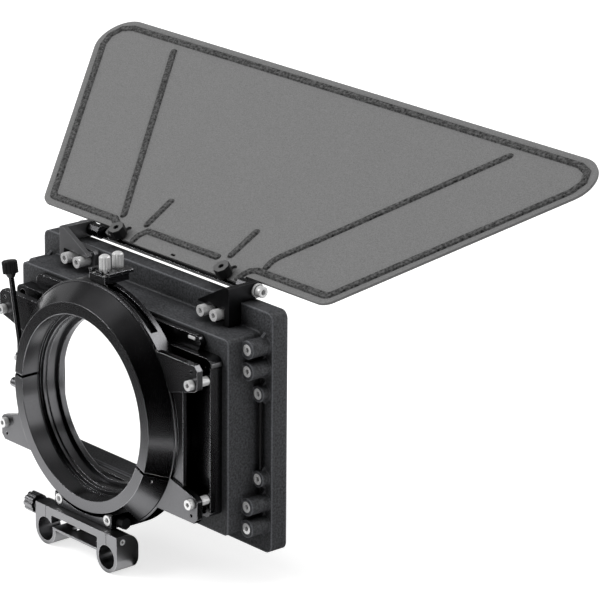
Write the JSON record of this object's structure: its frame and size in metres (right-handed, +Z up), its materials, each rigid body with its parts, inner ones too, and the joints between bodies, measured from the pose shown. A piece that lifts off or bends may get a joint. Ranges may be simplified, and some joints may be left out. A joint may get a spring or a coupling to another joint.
{
  "type": "matte box",
  "caption": "Camera matte box: deep hood with a hinged top flag, a filter stage with a sliding tray, a lever-locked lens clamp and a bracket for two support rods.",
  "frame": {"origin": "on the lens axis, at the rear face of the lens clamp", "axes": "+X to the operator's left, +Y back to the camera along the lens axis, +Z up; the hood opens towards -Y"},
  "size_m": [0.4534, 0.2199, 0.2578],
  "materials": {
    "moulded_hood": "fine moulded texture",
    "moulded_flag": "fine moulded texture",
    "black_anodised": "black anodised",
    "satin_anodised": "satin grey black anodised",
    "bright_steel": "bright stainless"
  },
  "bodies": {
    "frame": {"hood_shell": "moulded_hood", "hood_barrel_screws": "bright_steel", "side_rods": "bright_steel", "flag_bracket_left": "satin_anodised", "flag_bracket_right": "satin_anodised", "flag_bracket_screws": "bright_steel", "hinge_pivot_screws": "bright_steel", "hinge_washers": "bright_steel", "filter_stage": "black_anodised", "stage_screws": "black_anodised", "tray_stop_tab": "bright_steel", "lens_adapter": "black_anodised", "arm_screws": "bright_steel", "standoff_sleeves": "bright_steel", "clamp_ring": "black_anodised", "clamp_ring_screws": "black_anodised", "jaw_hinge_pin": "bright_steel", "lever_pivot_pin": "bright_steel", "catcher_block": "black_anodised", "catcher_screws": "bright_steel", "catcher_spring_rear": "bright_steel", "catcher_spring_front": "bright_steel", "saddle": "black_anodised", "saddle_screws": "bright_steel", "rod_bracket": "satin_anodised", "bracket_screws": "bright_steel", "rod_clamp_screw": "bright_steel"},
    "flag": {"top_flag": "moulded_flag", "hinge_bar": "black_anodised"},
    "flag_knob_left": {"flag_knob_left": "black_anodised"},
    "flag_knob_right": {"flag_knob_right": "black_anodised"},
    "tray": {"filter_tray": "black_anodised", "tray_clip": "bright_steel"},
    "lever": {"clamp_lever": "black_anodised", "lever_knob": "satin_anodised"},
    "jaw": {"clamp_jaw": "black_anodised", "draw_bolt": "bright_steel", "draw_bolt_pin": "satin_anodised"},
    "catcher_pin_rear": {"catcher_pin_rear": "bright_steel"},
    "catcher_pin_front": {"catcher_pin_front": "bright_steel"},
    "rod_clamp_knob": {"rod_clamp_knob": "satin_anodised"},
    "height_knob": {"height_knob": "satin_anodised"}
  },
  "joints": [
    {"name": "flag_tilt", "type": "hinge", "parent": "frame", "child": "flag", "pos_m": [0, -0.0694, 0.0802], "axis": [-1, 0, 0], "range_deg": [-100, 60]},
    {"name": "flag_knob_left_turn", "type": "hinge", "parent": "flag", "child": "flag_knob_left", "pos_m": [0.0502, -0.07139, 0.08135], "axis": [0, 0.4985, 0.8669], "range_deg": [-30, 330]},
    {"name": "flag_knob_right_turn", "type": "hinge", "parent": "flag", "child": "flag_knob_right", "pos_m": [-0.0502, -0.07139, 0.08135], "axis": [0, 0.4985, 0.8669], "range_deg": [-30, 330]},
    {"name": "tray_slide", "type": "slide", "parent": "frame", "child": "tray", "axis": [0, 0, 1], "range_m": [0, 0.015]},
    {"name": "lever_turn", "type": "hinge", "parent": "frame", "child": "lever", "pos_m": [0.0663, -0.0066, 0.0135], "axis": [0, 1, 0], "range_deg": [0, 100]},
    {"name": "jaw_turn", "type": "hinge", "parent": "frame", "child": "jaw", "pos_m": [-0.06004, -0.008, -0.02928], "axis": [0, 1, 0], "range_deg": [0, 0.55]},
    {"name": "catcher_pin_rear_press", "type": "slide", "parent": "frame", "child": "catcher_pin_rear", "axis": [0, 0, -1], "range_m": [0, 0.0015], "stiffness_N_per_m": 300, "springref_m": -0.002, "deforming": ["catcher_spring_rear"]},
    {"name": "catcher_pin_front_press", "type": "slide", "parent": "frame", "child": "catcher_pin_front", "axis": [0, 0, -1], "range_m": [0, 0.0015], "stiffness_N_per_m": 300, "springref_m": -0.002, "deforming": ["catcher_spring_front"]},
    {"name": "rod_clamp_knob_turn", "type": "hinge", "parent": "frame", "child": "rod_clamp_knob", "pos_m": [0.045, -0.0002, -0.0741], "axis": [1, 0, 0], "range_deg": [-45, 315]},
    {"name": "height_knob_turn", "type": "hinge", "parent": "frame", "child": "height_knob", "pos_m": [-0.033, -0.008, -0.0662], "axis": [-1, 0, 0], "range_deg": [-45, 315]}
  ],
  "couplings": [
    {"joint": "jaw_turn", "follows": "lever_turn", "ratio": 0.0055}
  ]
}
